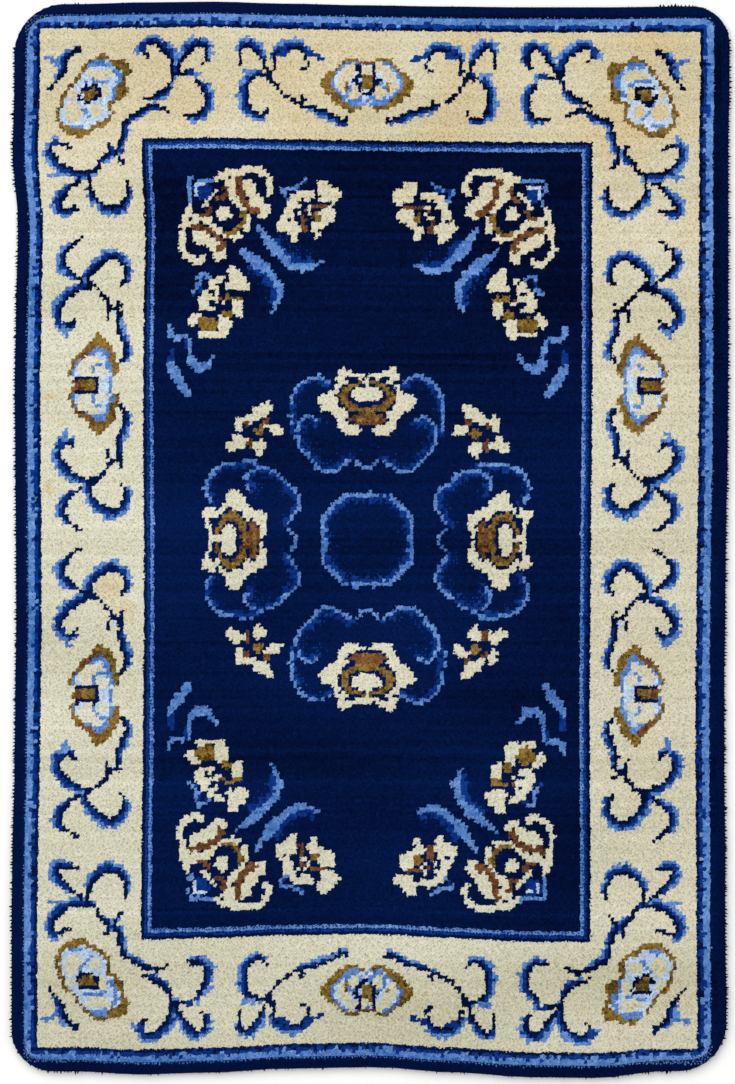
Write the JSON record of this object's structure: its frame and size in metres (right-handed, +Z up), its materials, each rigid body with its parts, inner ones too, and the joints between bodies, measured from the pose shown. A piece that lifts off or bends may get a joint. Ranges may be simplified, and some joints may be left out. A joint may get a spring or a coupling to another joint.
{
  "type": "hand-knotted floral area rug",
  "caption": "Small flat wool pile rug with a dark blue floral medallion field, a cream border of scrolling vines and flowers, and blue guard stripes, for lying on a floor.",
  "frame": {"origin": "on the floor under the middle of the rug", "axes": "+Z up out of the pile, +Y along the rug's length towards its top end, +X across its width to the right as seen from above"},
  "size_m": [0.61, 0.914, 0.011],
  "materials": {
    "wool_navy": "matte",
    "wool_cream": "matte",
    "wool_royal_blue": "matte",
    "wool_sky_blue": "matte",
    "wool_pale_blue": "matte",
    "wool_gold": "matte",
    "wool_brown": "matte",
    "knotted_ground": "matte"
  },
  "bodies": {
    "root": {"rug": "wool_navy"}
  },
  "joints": []
}
